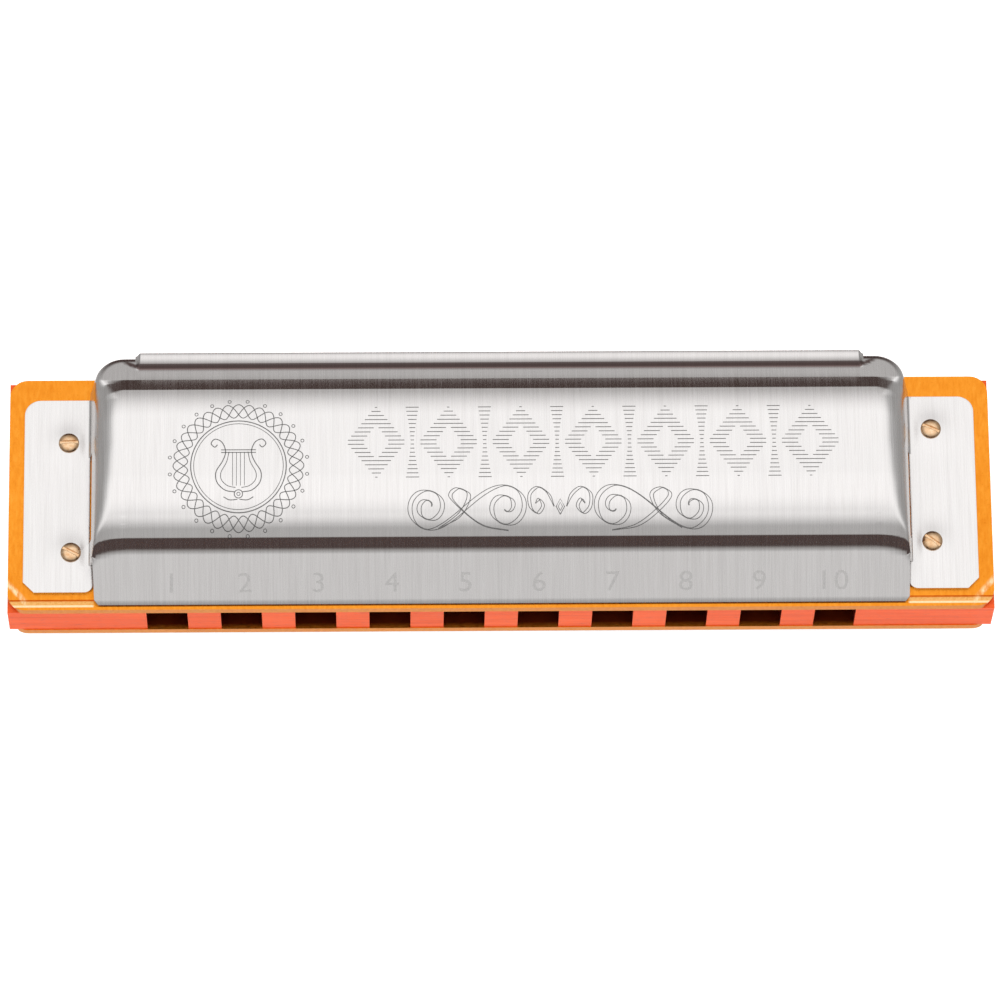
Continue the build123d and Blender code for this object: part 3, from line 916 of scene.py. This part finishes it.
# ---------------------------------------------------------------- screws
def make_screw(name, side, spot):
    """A round head with a sawn slot, over the CAD screw's shank; side is 1 above and -1 below."""
    x_at, from_mouth, slot_degrees = spot
    radius, rise, skirt, lifted = 1.03, 0.60, 0.15, 0.13
    half, depth, burr = 0.13, 0.22, 0.03
    columns = 41

    def dome(s, t):
        return skirt + (rise - skirt) * sqrt(max(0.0, 1 - (hypot(s, t) / radius) ** 2.6))

    beside_slot = [-0.24, -0.19, -half - 0.045, -half - 0.012, -half + 0.008, -half + 0.02]
    offsets = [*np.linspace(-0.995, -0.3, 15) * radius, *beside_slot]
    offsets = [*offsets, 0.0, *[-t for t in reversed(offsets)]]
    points = []
    for t in offsets:
        reach = sqrt(max(0.0, radius**2 - t * t)) * 0.999
        for share in np.linspace(-1, 1, columns):
            s = reach * sin(share * pi / 2)
            z = dome(s, t)
            if abs(t) < half:
                z = min(z, rise - depth)
            elif abs(t) < half + burr:
                z -= 0.02
            points.append((s, t, z))
    faces = grid_faces(len(offsets), columns)

    # the wall from the head's rim down to the tab
    last = (len(offsets) - 1) * columns
    there = [*range(0, last, columns), *range(last, last + columns)]
    back = [*range(last - 1, 0, -columns), *range(columns - 2, 0, -1)]
    ring = there + back
    start = len(points)
    points += [(points[k][0], points[k][1], min(points[k][2], 0.0)) for k in ring]
    for k, corner in enumerate(ring):
        following = (k + 1) % len(ring)
        faces.append((corner, ring[following], start + following, start + k))

    turn = radians(slot_degrees)
    base = (UPPER_TOP if side > 0 else LOWER_BOTTOM) + side * (SHEET + lifted)
    placed = []
    for s, t, z in points:
        x, y = s * cos(turn) - t * sin(turn), s * sin(turn) + t * cos(turn)
        placed.append((side * (x_at + x), MOUTH_Y + from_mouth + y, base + side * z))
    head = mesh_object(name + "_head", placed, faces, SCREW, 28)
    face_outwards(head.data, side)
    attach(head, "body")
    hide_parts(name)


for place, spot in SCREW_SPOTS.items():
    make_screw(f"upper_cover_screw_{place}", 1, spot)
    row, end = place.split("_")
    opposite = "left" if end == "right" else "right"
    make_screw(f"lower_cover_screw_{row}_{opposite}", -1, spot)


# ---------------------------------------------------------------- reeds
def make_reed(kind, index):
    """A filed strip that bends from its riveted pad to its tip."""
    tongue = f"{kind}_reed_{index + 1}"
    joint = next(j for j in frame["joints"] if j["child"] == tongue)
    low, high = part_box(tongue)
    x, width = (low.x + high.x) / 2 / MM, (high.x - low.x) / MM
    root = joint["pos_m"][1] / MM
    ahead = 1 if kind == "blow" else -1
    length = (high.y - low.y) / MM
    top = COMB_TOP if kind == "blow" else LOWER_BOTTOM
    set_down = tan(radians(1.0))
    at_pad, filed_off, left_at_tip = 0.2, 0.09, 0.08
    points = []
    stations = [-0.3, 0.0, *np.linspace(0.3, length, 22)]
    for s in stations:
        share = max(0.0, s) / length
        thick = at_pad - filed_off * smoothstep(share / 0.25) + left_at_tip * smoothstep((share - 0.6) / 0.35)
        upper = top - max(0.0, s) * set_down
        if s == stations[-1]:
            upper = max(upper, low.z / MM + thick)
        y = root + ahead * s
        left, right = x - width / 2, x + width / 2
        upper, lower = upper - 0.001, upper - thick
        points += [(left, y, upper), (right, y, upper), (right, y, lower), (left, y, lower)]
    faces = []
    for k in range(len(stations) - 1):
        for c in range(4):
            d = (c + 1) % 4
            quad = (4 * k + c, 4 * k + d, 4 * k + 4 + d, 4 * k + 4 + c)
            faces.append(quad if ahead < 0 else quad[::-1])
    caps = [(3, 2, 1, 0), tuple(4 * (len(stations) - 1) + c for c in range(4))]
    faces += caps if ahead < 0 else [c[::-1] for c in caps]
    reed = mesh_object(tongue + "_strip", points, faces, REED, 30)
    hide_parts(tongue)
    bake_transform(reed)


for kind in ("blow", "draw"):
    for index in range(10):
        make_reed(kind, index)


# ---------------------------------------------------------------- materials of the CAD nodes
def paint(name, material):
    node = NODES[name]
    if not node.material_slots:
        node.data.materials.append(material)
    for holder in node.material_slots:
        holder.material = material


for name in NODES:
    if name == "comb":
        paint(name, WOOD)
    elif name.endswith("reed_plate"):
        paint(name, PLATE)
    elif "screw" in name:
        paint(name, SCREW)
    elif name.endswith("pins"):
        paint(name, PIN)
    elif name.endswith("rivets"):
        paint(name, RIVET)
    elif name.endswith("_cover"):
        paint(name, STEEL)
    else:
        paint(name, REED)


# ---------------------------------------------------------------- studio
def make_floor():
    """A pale floor just under the part, which lets the camera look through it from below."""
    size, z = 3.0, -0.00002
    mesh = bpy.data.meshes.new("studio_floor")
    corners = [(-size, -size, z), (size, -size, z), (size, size, z), (-size, size, z)]
    mesh.from_pydata(corners, [], [(0, 1, 2, 3)])
    floor = bpy.data.objects.new("studio_floor", mesh)
    bpy.context.scene.collection.objects.link(floor)
    material, tree, shader = new_material("pale_floor")
    shader.inputs["Base Color"].default_value = (0.86, 0.86, 0.86, 1)
    shader.inputs["Roughness"].default_value = 1.0
    shader.inputs["Specular IOR Level"].default_value = 0.0
    shader.inputs["Emission Color"].default_value = (1, 1, 1, 1)
    shader.inputs["Emission Strength"].default_value = 0.55
    facing = tree.nodes.new("ShaderNodeNewGeometry")
    clear = tree.nodes.new("ShaderNodeBsdfTransparent")
    choice = tree.nodes.new("ShaderNodeMixShader")
    tree.links.new(facing.outputs["Backfacing"], choice.inputs["Fac"])
    tree.links.new(shader.outputs["BSDF"], choice.inputs[1])
    tree.links.new(clear.outputs["BSDF"], choice.inputs[2])
    tree.links.new(choice.outputs["Shader"], tree.nodes["Material Output"].inputs["Surface"])
    mesh.materials.append(material)
    floor.visible_glossy = False


def make_world():
    """Soft light that changes from back to front over the part, and by height alone at the sides."""
    world = bpy.data.worlds.new("studio")
    bpy.context.scene.world = world
    world.use_nodes = True
    tree = world.node_tree
    _, y, z, aside = place_in(tree, "Generated")
    angle = calc(tree, "ARCTAN2", calc(tree, "MULTIPLY", y, -1), z)
    share = rising(tree, angle, -pi, pi)
    # brightness by angle from straight up, positive towards the front
    stops = [
        (-180, (0.95, 0.94, 0.93)),
        (-132, (0.90, 0.89, 0.88)),
        (-122, (0.07, 0.046, 0.042)),
        (-74, (0.068, 0.044, 0.039)),
        (-63, (0.30, 0.285, 0.28)),
        (-50, (0.48, 0.47, 0.465)),
        (-40, (0.82, 0.81, 0.81)),
        (-31, (1.12, 1.11, 1.11)),
        (-20, (1.27, 1.27, 1.27)),
        (0, (1.27, 1.26, 1.26)),
        (14, (1.16, 1.155, 1.155)),
        (28, (0.96, 0.955, 0.955)),
        (38, (0.79, 0.785, 0.785)),
        (46, (0.55, 0.55, 0.55)),
        (62, (0.42, 0.41, 0.405)),
        (81, (0.085, 0.062, 0.058)),
        (122, (0.085, 0.058, 0.055)),
        (132, (0.90, 0.89, 0.88)),
        (180, (0.95, 0.94, 0.93)),
    ]
    round_part = ramp(tree, share, [((degrees + 180) / 360, color) for degrees, color in stops])
    side_stops = [
        (0.0, (0.62, 0.61, 0.61)),
        (0.25, (0.42, 0.415, 0.41)),
        (0.6, (0.36, 0.355, 0.35)),
        (0.8, (0.52, 0.52, 0.52)),
        (0.93, (1.15, 1.15, 1.15)),
    ]
    sides = ramp(tree, rising(tree, z, -1.0, 1.0), side_stops)
    not_low_front = calc(tree, "MAXIMUM", rising(tree, y, -0.55, -0.25), rising(tree, z, 0.05, 0.35))
    sideways = calc(tree, "MULTIPLY", rising(tree, aside, 0.25, 0.6), not_low_front)
    color = mixed(tree, sideways, round_part, sides)
    tree.links.new(color, tree.nodes["Background"].inputs["Color"])
    tree.nodes["Background"].inputs["Strength"].default_value = 1.0


def area_light(name, place, target, size, power):
    data = bpy.data.lights.new(name, "AREA")
    data.shape = "RECTANGLE"
    data.size, data.size_y = size
    data.energy = power
    lamp = bpy.data.objects.new(name, data)
    bpy.context.scene.collection.objects.link(lamp)
    lamp.location = place
    lamp.rotation_euler = (Vector(target) - Vector(place)).to_track_quat("-Z", "Y").to_euler()
    lamp.visible_glossy = False


# Focal length, place and turn (in degrees) of the main camera.
CAMERA_LENS = 256.6
CAMERA_PLACE = (-12.17, -249.44, 691.11)
CAMERA_TURN = (20.113, -0.806, -0.597)


def make_camera():
    """A long lens looking down from in front, 20 degrees off the vertical."""
    data = bpy.data.cameras.new("camera")
    data.sensor_width = 36
    data.lens = CAMERA_LENS
    data.clip_start, data.clip_end = 0.05, 20
    camera = bpy.data.objects.new("camera", data)
    bpy.context.scene.collection.objects.link(camera)
    camera.location = Vector(CAMERA_PLACE) * MM
    camera.rotation_euler = [radians(angle) for angle in CAMERA_TURN]
    bpy.context.scene.camera = camera


make_floor()
make_world()
area_light("front_softbox", (-0.15, -0.75, 0.55), (0, 0, 0.01), (0.9, 0.5), 3.2)
area_light("top_softbox", (0.1, 0.15, 0.9), (0, 0, 0), (1.0, 0.8), 4.0)
make_camera()

view = bpy.context.scene.view_settings
view.view_transform = "Standard"
view.look = "None"
view.exposure = 0.0
view.gamma = 1.0
